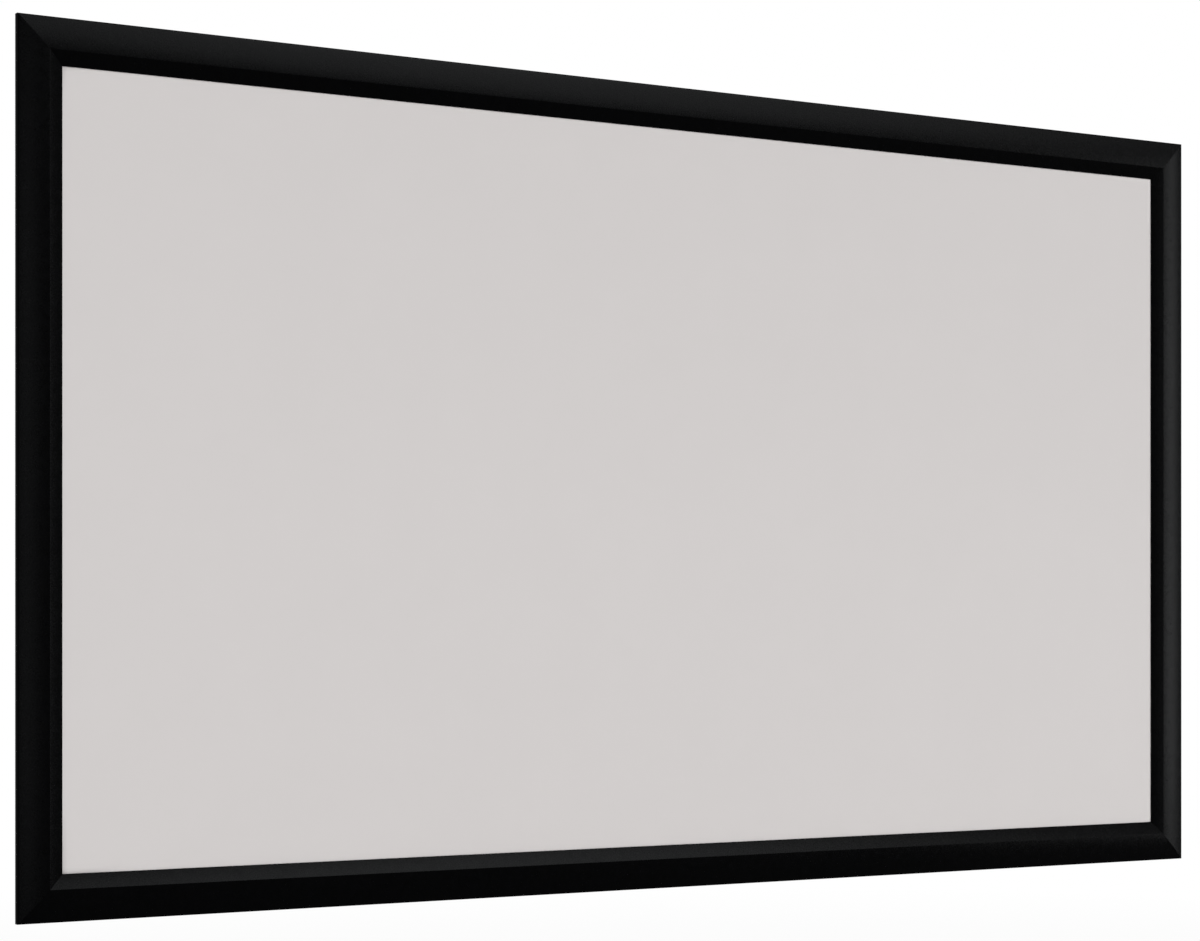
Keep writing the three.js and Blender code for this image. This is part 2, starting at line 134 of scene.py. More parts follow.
# Support bar with its clips, and wall plates.
BAR_WIDTH = 30
BAR_DEPTH = 8
BAR_WALL = 1.2
BAR_LEVEL = 3
BAR_CORNER = 1.5
CLIP_PLUG = 24
CLIP_WALL = 2
CLIP_EDGE_RADIUS = 0.4
CLIP_INNER_RADIUS = 0.3
CLIP_HOOK_RADIUS = 0.8
CLIP_PLUG_RADIUS = 1.0
PLATE_THICKNESS = 2
PLATE_WIDTH = 60
PLATE_HEIGHT = 58
PLATE_BEND_RADIUS = 0.5
PLATE_EDGE_RADIUS = 0.2
PLATE_HOLE = 5
PLATE_HOLE_SPACING = 30
HOOK_CLEARANCE = 1
WALL_BRACKET_PITCHES = 3

# How finely the shapes are drawn.
ARC_STEP = math.radians(12)
NEARLY_STRAIGHT = math.radians(1)
SMOOTH_UNDER = math.radians(30)
MITRE_LIMIT = 0.5
ROUND_SIDES = 32
SCREW_SIDES = 48
FLOOR_SIDES = 96
FACE_STEPS = 20
UNDER_FACE_STEPS = 10
HOLLOW_FACE_STEPS = 8
EDGE_STEPS = 10
RIDGE_STEPS = 4
MARGIN_STEPS = 2
WINDOW_STEPS = 22
WINDOW_CORNER_STEPS = 4
CREASE_STEPS = 4
WELD_STEPS = 3
LOOP_STEPS = 20
COIL_TURN_STEPS = 16
WIRE_BEVEL_STEPS = 2

# Covers of the moulding, as places in its list of materials. The wall's cover goes on round the
# outer edge by this share of its turn.
ON_FRONT, ON_WALL, ON_METAL = range(3)
WALL_SHARE_OF_EDGE = 0.6

# How rough every noise pattern is.
NOISE_ROUGHNESS = 0.55

# Stage, in metres: a pale floor under the hung screen that melts into a white surround. The
# camera sees FLOOR_WHITE of it as plain white out to FLOOR_PLAIN, and all of it at FLOOR_FADED.
FLOOR_BELOW = 0.75
FLOOR_RADIUS = 9.0
FLOOR_PLAIN = 3.0
FLOOR_FADED = 8.1
FLOOR_WHITE = 0.7
SURROUND_LEVEL = 0.15
SUN_DISTANCE = 6

# Lamps: name, azimuth, elevation, strength and softness. Each front lamp is where one band of the
# moulding mirrors it to the camera.
LAMPS = (
    ("key", 31, 23, 1.08, 24),
    ("key_left", 24, 24, 0.12, 18),
    ("key_high", 33, 33, 0.42, 18),
    ("side_high", 48.5, 8, 0.31, 11),
    ("side", 48.5, 2, 0.28, 11),
    ("side_low", 48.5, -4, 0.34, 11),
    ("front_high", 7.5, 7, 0.09, 7),
    ("front", 7.5, 2.5, 0.03, 7),
    ("front_low", 7.5, -3, 0.09, 7),
    ("rear_left", 150, 35, 1.2, 30),
    ("rear_right", -140, 25, 1.0, 30),
)

# Camera at the photograph's viewing angle, fitted to the frame's edges.
CAMERA_PLACE = (-2.9045, -4.5803, -0.2493)
CAMERA_YAW = 31.04
CAMERA_LENS = 86.16
CAMERA_SENSOR = 36
CAMERA_SHIFT = 0.124
CAMERA_NEAR = 0.05
CAMERA_FAR = 100

# Sizes from the frame, in millimetres.
low, high = cad_box
overall_width = (high.x - low.x) / MM
overall_height = (high.z - low.z) / MM
frame_depth = (high.y - low.y) / MM
picture_width = overall_width - 2 * RAIL_WIDTH
picture_height = overall_height - 2 * RAIL_WIDTH

# Levels and places that follow.
step_level = frame_depth - FACE_DROP - OUTER_WALL_DEPTH
face_radius = (FACE_WIDTH**2 + FACE_DROP**2) / (2 * FACE_DROP)
bevel_slope = BEVEL_DROP / (RAIL_WIDTH - FACE_WIDTH)
ridge_turn = math.atan(bevel_slope)
ridge_reach = RIDGE_RADIUS * math.tan(ridge_turn / 2)
lip_top = frame_depth - BEVEL_DROP
lip_under = lip_top - LIP_THICKNESS
rib_edge = BOX_INSET + BOX_WIDTH
catch_edge = rib_edge + CATCH_REACH
catch_top = CATCH_LEVEL + CATCH_HEIGHT
catch_floor = CATCH_LEVEL + WALL
sheet_front = lip_under - FIT_GAP
sheet_back = sheet_front - SHEET_THICKNESS
rod_radius = ROD_DIAMETER / 2
rod_in = RAIL_WIDTH - ROD_FROM_EDGE
rod_level = sheet_back - FIT_GAP - rod_radius
screw_line = BOX_INSET + BOX_WIDTH / 2
bar_start = catch_edge + FIT_GAP + CLIP_WALL + FIT_GAP

# The frame's four sides: the bottom one turned about Y by quarter turns.
Side = namedtuple("Side", "name rail run turn length outer_edge springs pitch")


def make_side(name, rail, quarter):
    across = quarter % 2 == 0
    return Side(
        name,
        rail,
        "X" if across else "Z",
        Matrix.Rotation(math.radians(90 * quarter), 4, "Y"),
        overall_width if across else overall_height,
        (overall_height if across else overall_width) / 2,
        SPRINGS_ACROSS if across else SPRINGS_UP,
        picture_width / SPRINGS_ACROSS if across else picture_height / SPRINGS_UP,
    )


bottom = make_side("bottom", "bottom_rail", 0)
left = make_side("left", "left_stile", 1)
top = make_side("top", "top_rail", 2)
right = make_side("right", "right_stile", 3)
sides = [bottom, left, top, right]


def spring_places(side):
    return [(i + 0.5 - side.springs / 2) * side.pitch for i in range(side.springs)]


def at(side, along, inward, level):
    """A place on one side of the frame, in metres."""
    point = Vector((along, frame_depth / 2 - level, inward - side.outer_edge)) * MM
    return side.turn @ point


def straight(side, place):
    """Placing for a part that is centred on a place along a side."""
    return lambda along, inward, level: at(side, place + along, inward, level)


# Outlines
def rounded(corners):
    """Points of a closed outline whose corners are (x, y, radius)."""
    points = []
    count = len(corners)
    for i, (x, y, radius) in enumerate(corners):
        here = Vector((x, y))
        back = (Vector(corners[i - 1][:2]) - here).normalized()
        on = (Vector(corners[(i + 1) % count][:2]) - here).normalized()
        turn = math.pi - back.angle(on)
        if radius == 0 or turn < NEARLY_STRAIGHT:
            points.append((x, y))
            continue
        reach = radius * math.tan(turn / 2)
        start = here + back * reach
        centre = here + (back + on).normalized() * radius / math.cos(turn / 2)
        spin = math.copysign(turn, -back.x * on.y + back.y * on.x)
        steps = max(2, math.ceil(turn / ARC_STEP))
        for k in range(steps + 1):
            arm = Matrix.Rotation(spin * k / steps, 2) @ (start - centre)
            points.append(tuple(centre + arm))
    return points


def inset(points, distance):
    """The closed outline moved by a distance to its own inside."""
    area = sum(a[0] * b[1] - b[0] * a[1] for a, b in zip(points, points[1:] + points[:1]))
    facing = math.copysign(1, area)
    moved = []
    for i, point in enumerate(points):
        here = Vector(point)
        before = (here - Vector(points[i - 1])).normalized()
        after = (Vector(points[(i + 1) % len(points)]) - here).normalized()
        normal = Vector((-before.y - after.y, before.x + after.x)) * facing
        normal.normalize()
        share = max(MITRE_LIMIT, normal.dot(Vector((-before.y, before.x)) * facing))
        moved.append(tuple(here + normal * distance / share))
    return moved


def circle(radius, x=0.0, y=0.0, count=ROUND_SIDES):
    angles = [2 * math.pi * i / count for i in range(count)]
    return [(x + radius * math.cos(a), y + radius * math.sin(a)) for a in angles]


# Objects and meshes
def put(name, data):
    """An object in the scene for a mesh, curve, lamp or camera."""
    thing = bpy.data.objects.new(name, data)
    bpy.context.scene.collection.objects.link(thing)
    return thing


def evaluated(thing):
    """The mesh that an object's modifiers or curve settings give."""
    graph = bpy.context.evaluated_depsgraph_get()
    return bpy.data.meshes.new_from_object(thing.evaluated_get(graph))


def shown(name, mesh, materials, replaces):
    """Makes a mesh the piece that stands for CAD nodes."""
    for material in materials:
        mesh.materials.append(material)
    piece = put(name, mesh)
    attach(piece, "root")
    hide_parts(*replaces)
    return piece


def shade_by_angle(mesh):
    """Smooth shading, with the edges of larger turns kept sharp."""
    mesh.shade_smooth()
    mesh.set_sharp_from_angle(angle=SMOOTH_UNDER)


def mesh_from(name, points, faces, face_materials=None):
    mesh = bpy.data.meshes.new(name)
    mesh.from_pydata(points, [], faces)
    if face_materials is not None:
        mesh.polygons.foreach_set("material_index", face_materials)
    mesh.update()
    shade_by_angle(mesh)
    return mesh


def orient(mesh):
    """Turns every face of a closed mesh outward."""
    work = bmesh.new()
    work.from_mesh(mesh)
    bmesh.ops.recalc_face_normals(work, faces=work.faces)
    work.to_mesh(mesh)
    work.free()


def rings_mesh(name, rings):
    """A closed mesh through rings of equal count, with flat ends."""
    count = len(rings[0])
    points = [p for ring in rings for p in ring]
    faces = [tuple(reversed(range(count)))]
    for r in range(len(rings) - 1):
        a, b = r * count, (r + 1) * count
        for i in range(count):
            j = (i + 1) % count
            faces.append((a + i, a + j, b + j, b + i))
    faces.append(tuple(range((len(rings) - 1) * count, len(rings) * count)))
    mesh = mesh_from(name, points, faces)
    orient(mesh)
    return mesh


def prism(name, outline, place, half_length, hollow=(), covers=None):
    """A closed mesh that runs an outline lengthwise, with a small chamfer round its cut ends.

    place turns (along, inward, level) into metres, and half_length gives the length at a point's
    inward, so that ends can be mitred. covers gives the material of each stretch of the outline,
    and its last is also the ends' and the hollow's.
    """
    covers = covers or [0] * len(outline)
    count = len(outline)
    narrow = inset(outline, CUT_EDGE)
    stations = [(-1, narrow, 0), (-1, outline, CUT_EDGE), (1, outline, CUT_EDGE), (1, narrow, 0)]
    points = []
    for end, ring, back in stations:
        points += [place(end * (half_length(x) - back), x, y) for x, y in ring]
    faces, materials = [], []
    for s in range(len(stations) - 1):
        a, b = s * count, (s + 1) * count
        for i in range(count):
            j = (i + 1) % count
            faces.append((a + i, a + j, b + j, b + i))
            materials.append(covers[i])
    first, second = len(points), len(points) + len(hollow)
    for end in (-1, 1):
        points += [place(end * half_length(x), x, y) for x, y in hollow]
    for i in range(len(hollow)):
        j = (i + 1) % len(hollow)
        faces.append((first + j, first + i, second + i, second + j))
        materials.append(covers[-1])
    loops = [[Vector((*p, 0)) for p in loop] for loop in (narrow, hollow) if loop]
    for ring_start, hollow_start in ((0, first), ((len(stations) - 1) * count, second)):
        index = list(range(ring_start, ring_start + count))
        index += range(hollow_start, hollow_start + len(hollow))
        for triangle in tessellate_polygon(loops):
            faces.append(tuple(index[k] for k in triangle))
            materials.append(covers[-1])
    mesh = mesh_from(name, points, faces, materials)
    orient(mesh)
    return mesh


def drilled(name, mesh, cutters, material_index=0):
    """The mesh with other closed meshes cut from it."""
    body = put(name, mesh)
    tools = []
    for cutter in cutters:
        cutter.polygons.foreach_set("material_index", [material_index] * len(cutter.polygons))
        tool = put(f"{name}_tool", cutter)
        tools.append(tool)
        modifier = body.modifiers.new("hole", "BOOLEAN")
        modifier.object = tool
        modifier.solver = "EXACT"
    result = evaluated(body)
    for thing in [body, *tools]:
        bpy.data.objects.remove(thing)
    result.name = name
    shade_by_angle(result)
    return result


def stud(side, along, inward, radius, low_level, high_level):
    """A round closed mesh through the depth, for cutting a hole."""
    rings = []
    for level in (low_level, high_level):
        rings.append([at(side, along + x, inward + y, level) for x, y in circle(radius)])
    return rings_mesh("hole", rings)


# Materials
class Paint:
    """A material whose node tree is built with short calls."""

    def __init__(self, name, base, roughness, metallic=0.0, specular=0.5):
        self.material = bpy.data.materials.new(name)
        self.material.use_nodes = True
        self.tree = self.material.node_tree
        self.shader = self.tree.nodes["Principled BSDF"]
        self.set("Base Color", (*base, 1))
        self.set("Roughness", roughness)
        self.set("Metallic", metallic)
        self.set("Specular IOR Level", specular)
        self.base = base
        coordinates = self.node("ShaderNodeTexCoord")
        self.place = coordinates.outputs["Object"]

    def set(self, socket, value):
        self.shader.inputs[socket].default_value = value

    def node(self, kind, inputs=None, **settings):
        made = self.tree.nodes.new(kind)
        for key, value in settings.items():
            setattr(made, key, value)
        for key, value in (inputs or {}).items():
            if isinstance(value, bpy.types.NodeSocket):
                self.tree.links.new(value, made.inputs[key])
            else:
                made.inputs[key].default_value = value
        return made

    def stretched(self, scale):
        mapping = self.node("ShaderNodeMapping", {"Vector": self.place, "Scale": scale})
        return mapping.outputs["Vector"]

    def noise(self, scale, detail, vector=None):
        inputs = {
            "Vector": vector or self.place,
            "Scale": scale,
            "Detail": detail,
            "Roughness": NOISE_ROUGHNESS,
        }
        return self.node("ShaderNodeTexNoise", inputs).outputs["Fac"]

    def range(self, value, low, high, from_low=0.3, from_high=0.7):
        inputs = {
            "Value": value,
            "From Min": from_low,
            "From Max": from_high,
            "To Min": low,
            "To Max": high,
        }
        return self.node("ShaderNodeMapRange", inputs).outputs["Result"]

    def math(self, operation, a, b):
        return self.node("ShaderNodeMath", {0: a, 1: b}, operation=operation).outputs[0]

    def shade(self, factor, dark, light):
        """Base colour between dark and light times the paint's own colour."""
        mix = self.node("ShaderNodeMix", {"Factor": factor}, data_type="RGBA")
        mix.inputs["A"].default_value = (*[c * dark for c in self.base], 1)
        mix.inputs["B"].default_value = (*[c * light for c in self.base], 1)
        self.tree.links.new(mix.outputs["Result"], self.shader.inputs["Base Color"])

    def rough(self, factor, low, high):
        self.tree.links.new(self.range(factor, low, high), self.shader.inputs["Roughness"])

    def bump(self, height, distance, strength):
        """Bump on top of any that the paint already has."""
        inputs = {"Height": height, "Distance": distance, "Strength": strength}
        normal = self.shader.inputs["Normal"]
        if normal.is_linked:
            inputs["Normal"] = normal.links[0].from_socket
        made = self.node("ShaderNodeBump", inputs)
        self.tree.links.new(made.outputs["Normal"], normal)


def flock(name, gloss):
    """Short black pile: dense fibres, with patches where it lies another way."""
    paint = Paint(name, (0.0005, 0.0005, 0.0006), roughness=0.17, specular=gloss)
    paint.set("Specular Tint", (0.95, 0.98, 1.0, 1))
    patches = paint.noise(scale=70, detail=4)
    clumps = paint.noise(scale=420, detail=3)
    fibres = paint.noise(scale=2600, detail=2)
    mixed = paint.math("MULTIPLY", paint.range(patches, 0.6, 1.4), paint.range(clumps, 0.5, 1.5))
    paint.shade(paint.range(mixed, 0, 1, from_low=0.3, from_high=1.9), dark=0.4, light=2.0)
    paint.rough(patches, 0.14, 0.2)
    paint.bump(patches, distance=0.0012, strength=0.06)
    paint.bump(clumps, distance=0.0005, strength=0.09)
    paint.bump(fibres, distance=0.0001, strength=0.45)
    return paint.material


def lengthwise_scale(run, along, across):
    """Noise scale drawn out along X or Z, as extrusion lines are."""
    return (along, across, across) if run == "X" else (across, across, along)


def anodised(run):
    """Black anodised extrusion: fine die lines along its length and faint handling marks."""
    paint = Paint(f"anodised_{run.lower()}", (0.022, 0.022, 0.024), roughness=0.42, metallic=0.6)
    lengthwise = paint.stretched(lengthwise_scale(run, along=3, across=1400))
    lines = paint.noise(scale=1, detail=3, vector=lengthwise)
    marks = paint.noise(scale=45, detail=5)
    worn = paint.math("ADD", paint.range(lines, -0.2, 0.6), paint.range(marks, 0, 0.4))
    paint.shade(worn, dark=0.7, light=1.6)
    paint.rough(lines, 0.34, 0.5)
    paint.bump(lines, distance=0.00004, strength=0.6)
    return paint.material


def sheet_front_paint():
    """Matt grey vinyl with a fine even grain."""
    paint = Paint("screen_front", (0.631, 0.604, 0.597), roughness=0.85, specular=0.2)
    grain = paint.noise(scale=1800, detail=3)
    cloudy = paint.noise(scale=6, detail=2)
    mixed = paint.math("ADD", paint.range(grain, 0, 0.5), paint.range(cloudy, 0, 0.5))
    paint.shade(mixed, dark=0.99, light=1.01)
    paint.rough(grain, 0.8, 0.9)
    paint.bump(grain, distance=0.00004, strength=0.35)
    return paint.material


def sheet_back_paint():
    """Black backing with the crossed threads of its scrim showing through."""
    paint = Paint("screen_back", (0.025, 0.025, 0.027), roughness=0.7, specular=0.35)
    threads = []
    for direction in ("X", "Z"):
        wave = paint.node(
            "ShaderNodeTexWave",
            {"Vector": paint.place, "Scale": 420, "Distortion": 0.6, "Detail Scale": 2},
            bands_direction=direction,
        )
        threads.append(wave.outputs["Fac"])
    weave = paint.math("MAXIMUM", *threads)
    worn = paint.noise(scale=9, detail=4)
    paint.shade(paint.range(worn, 0, 1), dark=0.75, light=1.35)
    paint.rough(worn, 0.6, 0.78)
    paint.bump(weave, distance=0.00012, strength=0.5)
    return paint.material


def fibreglass(run):
    """Pulled glass fibre rod: pale resin with long fibres in it."""
    paint = Paint(f"fibreglass_{run.lower()}", (0.70, 0.66, 0.55), roughness=0.42)
    lengthwise = paint.stretched(lengthwise_scale(run, along=14, across=2600))
    strands = paint.noise(scale=1, detail=4, vector=lengthwise)
    paint.shade(paint.range(strands, 0, 1), dark=0.78, light=1.12)
    paint.rough(strands, 0.35, 0.55)
    paint.set("Subsurface Weight", 0.08)
    paint.set("Subsurface Radius", (0.002, 0.0018, 0.0012))
    paint.bump(strands, distance=0.00008, strength=0.5)
    return paint.material


def spring_wire():
    """Bright spring wire with drawing lines and a few dull spots."""
    paint = Paint("spring_wire", (0.55, 0.56, 0.57), roughness=0.3, metallic=1.0)
    drawn = paint.noise(scale=2400, detail=2)
    dull = paint.noise(scale=120, detail=4)
    paint.shade(paint.range(dull, 0, 1), dark=0.72, light=1.12)
    paint.rough(dull, 0.24, 0.42)
    paint.bump(drawn, distance=0.00002, strength=0.4)
    return paint.material


def zinc():
    """Zinc-plated pressed steel: soft cloudy plating and rolling marks."""
    paint = Paint("zinc_plating", (0.45, 0.47, 0.49), roughness=0.42, metallic=1.0)
    clouds = paint.noise(scale=55, detail=5)
    rolled = paint.noise(scale=1, detail=3, vector=paint.stretched((60, 900, 900)))
    paint.shade(paint.range(clouds, 0, 1), dark=0.8, light=1.15)
    paint.rough(clouds, 0.34, 0.52)
    paint.bump(rolled, distance=0.00003, strength=0.6)
    paint.bump(clouds, distance=0.0001, strength=0.3)
    return paint.material


def black_oxide():
    """Blackened screw steel, rubbed brighter in spots."""
    paint = Paint("black_oxide", (0.05, 0.05, 0.055), roughness=0.4, metallic=0.9)
    rubbed = paint.noise(scale=700, detail=4)
    paint.shade(paint.range(rubbed, 0, 1, from_low=0.35), dark=0.6, light=2.0)
    paint.rough(rubbed, 0.3, 0.5)
    paint.bump(rubbed, distance=0.00002, strength=0.5)
    return paint.material


def powder_coat():
    """Satin black coating with a fine orange peel."""
    paint = Paint("powder_coat", (0.02, 0.02, 0.022), roughness=0.45)
    peel = paint.noise(scale=900, detail=2)
    dust = paint.noise(scale=35, detail=5)
    paint.shade(paint.range(dust, 0, 1), dark=0.8, light=1.5)
    paint.rough(dust, 0.38, 0.55)
    paint.bump(peel, distance=0.00008, strength=0.5)
    return paint.material


def moulded_plastic():
    """Black moulded plastic with a spark-eroded grain."""
    paint = Paint("moulded_plastic", (0.015, 0.015, 0.016), roughness=0.5)
    grain = paint.noise(scale=2200, detail=3)
    flow = paint.noise(scale=60, detail=3)
    paint.shade(paint.range(flow, 0, 1), dark=0.8, light=1.5)
    paint.rough(grain, 0.42, 0.6)
    paint.bump(grain, distance=0.00006, strength=0.6)
    return paint.material


# The pile lies flatter on the front than on the outer walls, which are duller.
velvet = flock("flock_front", gloss=0.0155)
wall_velvet = flock("flock_wall", gloss=0.003)
metal = {"X": anodised("X"), "Z": anodised("Z")}
rod_paint = {"X": fibreglass("X"), "Z": fibreglass("Z")}
wire_paint = spring_wire()
zinc_paint = zinc()
screw_paint = black_oxide()
bar_paint = powder_coat()
clip_paint = moulded_plastic()


# Moulding
def face_points(depth, from_inward, to_inward, steps):
    """The bowed face, or a face a depth below it."""
    radius = face_radius - depth
    start = math.asin((FACE_WIDTH - from_inward) / radius)
    end = math.asin((FACE_WIDTH - to_inward) / radius)
    points = []
    for i in range(steps + 1):
        angle = start + (end - start) * i / steps
        level = frame_depth - face_radius + radius * math.cos(angle)
        points.append((FACE_WIDTH - radius * math.sin(angle), level))
    return points


def outer_edge():
    """The round from the outer wall to the bowed face, and the inward place where that starts."""
    reach = face_radius - EDGE_RADIUS
    tangent = math.asin((FACE_WIDTH - EDGE_RADIUS) / reach)
    edge_level = frame_depth - face_radius + reach * math.cos(tangent)
    points = []
    for i in range(EDGE_STEPS):
        angle = math.pi / 2 + (tangent - math.pi / 2) * i / EDGE_STEPS
        inward = EDGE_RADIUS * (1 - math.sin(angle))
        points.append((inward, edge_level + EDGE_RADIUS * math.cos(angle)))
    return points, FACE_WIDTH - face_radius * math.sin(tangent)


def ridge():
    """The round from the bowed face to the bevel."""
    points = []
    for i in range(1, RIDGE_STEPS + 1):
        angle = ridge_turn * i / RIDGE_STEPS
        inward = FACE_WIDTH - ridge_reach + RIDGE_RADIUS * math.sin(angle)
        points.append((inward, frame_depth - RIDGE_RADIUS * (1 - math.cos(angle))))
    return points


def moulding_outline():
    """The section's outline, and which cover each of its stretches has."""
    foot = [(EXTRUSION_CORNER, step_level), (0, step_level + EXTRUSION_CORNER)]
    edge, face_start = outer_edge()
    face = face_points(0, face_start, FACE_WIDTH - ridge_reach, FACE_STEPS)
    land = RAIL_WIDTH - LIP_LAND
    heel = land - LIP_HEEL
    # The first and last corners only give the lip's round corners their directions.
    lip = rounded([
        (FACE_WIDTH, frame_depth, 0),
        (RAIL_WIDTH, lip_top, LIP_FRONT_RADIUS),
        (RAIL_WIDTH, lip_under, LIP_BACK_RADIUS),
        (land, lip_under, 0),
    ])
    front = foot + edge + face + ridge() + lip[1:-1]

    under = WALL * math.hypot(1, bevel_slope)
    heel_level = frame_depth - bevel_slope * (heel - FACE_WIDTH) - under
    ridge_under = FACE_WIDTH - WALL * math.tan(ridge_turn / 2)
    under_face = face_points(WALL, ridge_under, rib_edge, UNDER_FACE_STEPS)[1:]
    corner = EXTRUSION_CORNER
    back = [
        (land, lip_under, 0),
        (heel, heel_level, corner),
        (ridge_under, frame_depth - WALL, 0),
        *[(inward, level, 0) for inward, level in under_face],
        (rib_edge, catch_floor, corner),
        (catch_edge - WALL, catch_floor, corner),
        (catch_edge - WALL, catch_top, corner),
        (catch_edge, catch_top, corner),
        (catch_edge, CATCH_LEVEL, corner),
        (rib_edge, CATCH_LEVEL, corner),
        (rib_edge, 0, corner),
        (BOX_INSET, 0, corner),
        (BOX_INSET, step_level, corner),
        (EXTRUSION_CORNER, step_level, 0),
    ]
    outline = front + rounded(back)[:-1]
    wall = len(foot) + int(EDGE_STEPS * WALL_SHARE_OF_EDGE)
    covers = [ON_WALL] * wall + [ON_FRONT] * (len(front) - wall)
    return outline, covers + [ON_METAL] * (len(outline) - len(front))


def moulding_hollow():
    corner = EXTRUSION_CORNER
    under_face = face_points(WALL, WALL, rib_edge - WALL, HOLLOW_FACE_STEPS)
    return rounded([
        (BOX_INSET + WALL, WALL, corner),
        (BOX_INSET + WALL, step_level + WALL, corner),
        (WALL, step_level + WALL, corner),
        *[(inward, level, 0) for inward, level in under_face],
        (rib_edge - WALL, WALL, corner),
    ])


def moulding(side):
    outline, covers = moulding_outline()

    def half_length(inward):
        return side.length / 2 - inward - MITRE_SEAM / math.sqrt(2)

    name = f"{side.rail}_moulding"
    mesh = prism(name, outline, straight(side, 0), half_length, moulding_hollow(), covers)
    radius = SCREW_DIAMETER / 2 + FIT_GAP
    screw_along = side.length / 2 - SCREW_FROM_CORNER
    holes = [
        stud(side, end * screw_along, screw_line, radius, -DRILL_PAST, 2 * WALL)
        for end in (-1, 1)
    ]
    mesh = drilled(name, mesh, holes, ON_METAL)
    materials = [velvet, wall_velvet, metal[side.run]]
    shown(name, mesh, materials, [side.rail])


# Projection surface. It is cut flat and folded round the rods, so a place on it is known by its
# distance along the cloth from the rod's crown: before 0 it lies flat, and after 0 it is folded.
cloth_radius = rod_radius + FIT_GAP + SHEET_THICKNESS / 2
cloth_level = sheet_back + SHEET_THICKNESS / 2
flap_level = cloth_level - SHEET_THICKNESS * LAYER_PITCH
fold_half = math.atan2(cloth_radius, HEM_APEX)
fold_angle = math.pi + 2 * fold_half
fold_length = cloth_radius * fold_angle
slope_start = (
    rod_in - cloth_radius * math.sin(fold_angle),
    rod_level + cloth_radius * math.cos(fold_angle),
)
slope_angle = 2 * fold_half
slope_length = (flap_level - slope_start[1]) / math.sin(slope_angle)
crease_start = fold_length + slope_length - HEM_CREASE_RADIUS * math.tan(fold_half)
crease_end = crease_start + HEM_CREASE_RADIUS * slope_angle
weld_end = crease_end + HEM_WELD - HEM_CREASE_RADIUS * math.tan(fold_half)


def on_cloth(distance):
    """(inward, level) of the cloth's middle at a distance from the rod's crown."""
    if distance <= 0:
        return rod_in - distance, cloth_level
    if distance <= fold_length:
        angle = distance / cloth_radius
        return rod_in - cloth_radius * math.sin(angle), rod_level + cloth_radius * math.cos(angle)
    inward, level = slope_start
    run = min(distance, crease_start) - fold_length
    inward += run * math.cos(slope_angle)
    level += run * math.sin(slope_angle)
    turned = max(0, min(distance, crease_end) - crease_start) / HEM_CREASE_RADIUS
    left_over = slope_angle - turned
    inward += HEM_CREASE_RADIUS * (math.sin(slope_angle) - math.sin(left_over))
    level += HEM_CREASE_RADIUS * (math.cos(left_over) - math.cos(slope_angle))
    return inward + max(0, distance - crease_end), level


def cloth_stations(side):
    """Places along a side's hem, each with how deep a spring's window is there, from 0 to 1."""
    end = side.length / 2 - RAIL_WIDTH - HEM_FROM_CORNER
    edge = NOTCH_WIDTH / 2
    corner = []
    for k in range(WINDOW_CORNER_STEPS + 1):
        turn = math.pi / 2 * k / WINDOW_CORNER_STEPS
        corner.append((NOTCH_RADIUS * (1 - math.cos(turn)), math.sin(turn)))
    stations = [(-end, 0)]
    for place in spring_places(side):
        stations += [(place - edge + back, depth) for back, depth in corner]
        stations += [(place + edge - back, depth) for back, depth in reversed(corner)]
    stations.append((end, 0))
    return stations


def cloth_distances(depth):
    """Distances along the cloth across the hem, where a window is cut to a depth from 0 to 1."""
    window_start = -NOTCH_DEPTH + NOTCH_RADIUS * (1 - depth)
    flap_window = fold_length + slope_length - HEM_APEX + NOTCH_DEPTH
    window_end = flap_window - NOTCH_RADIUS * (1 - depth)
    start = -(ROD_FROM_EDGE - SHEET_MARGIN)
    distances = [start]
    for stop, steps in (
        (window_start, MARGIN_STEPS),
        (window_end, WINDOW_STEPS),
        (crease_start, 1),
        (crease_end, CREASE_STEPS),
        (weld_end, WELD_STEPS),
    ):
        distances += [start + (stop - start) * i / steps for i in range(1, steps + 1)]
        start = stop
    return distances


def flat_part():
    """Points and faces of the sheet inside the hems, and the points along each side's edge."""
    body_in = RAIL_WIDTH - SHEET_MARGIN
    xs = [along for along, _ in cloth_stations(bottom)]
    zs = [along for along, _ in cloth_stations(left)]
    xs = [-overall_width / 2 + body_in, *xs, overall_width / 2 - body_in]
    zs = [-overall_height / 2 + body_in, *zs, overall_height / 2 - body_in]
    y = (frame_depth / 2 - cloth_level) * MM
    points = [(x * MM, y, z * MM) for z in zs for x in xs]
    wide = len(xs)
    faces = [
        (j * wide + i, j * wide + i + 1, (j + 1) * wide + i + 1, (j + 1) * wide + i)
        for j in range(len(zs) - 1)
        for i in range(wide - 1)
    ]
    index = list(range(len(points)))
    edges = {
        "bottom": index[:wide],
        "left": index[::wide][::-1],
        "top": index[-wide:][::-1],
        "right": index[wide - 1 :: wide],
    }
    return points, faces, edges


def add_hem(side, edge, points, faces):
    """Adds one side's hem to the sheet, from its flat edge round the rod to the weld's end."""
    stations = cloth_stations(side)
    columns = []
    for (along, depth), edge_point in zip(stations, edge[1:-1]):
        column = [edge_point]
        for distance in cloth_distances(depth)[1:]:
            column.append(len(points))
            points.append(tuple(at(side, along, *on_cloth(distance))))
        columns.append(column)
    for k in range(len(columns) - 1):
        near, far = columns[k], columns[k + 1]
        has_window = stations[k][1] > 0 or stations[k + 1][1] > 0
        for n in range(len(near) - 1):
            if has_window and MARGIN_STEPS <= n < MARGIN_STEPS + WINDOW_STEPS:
                continue
            faces.append((near[n + 1], far[n + 1], far[n], near[n]))


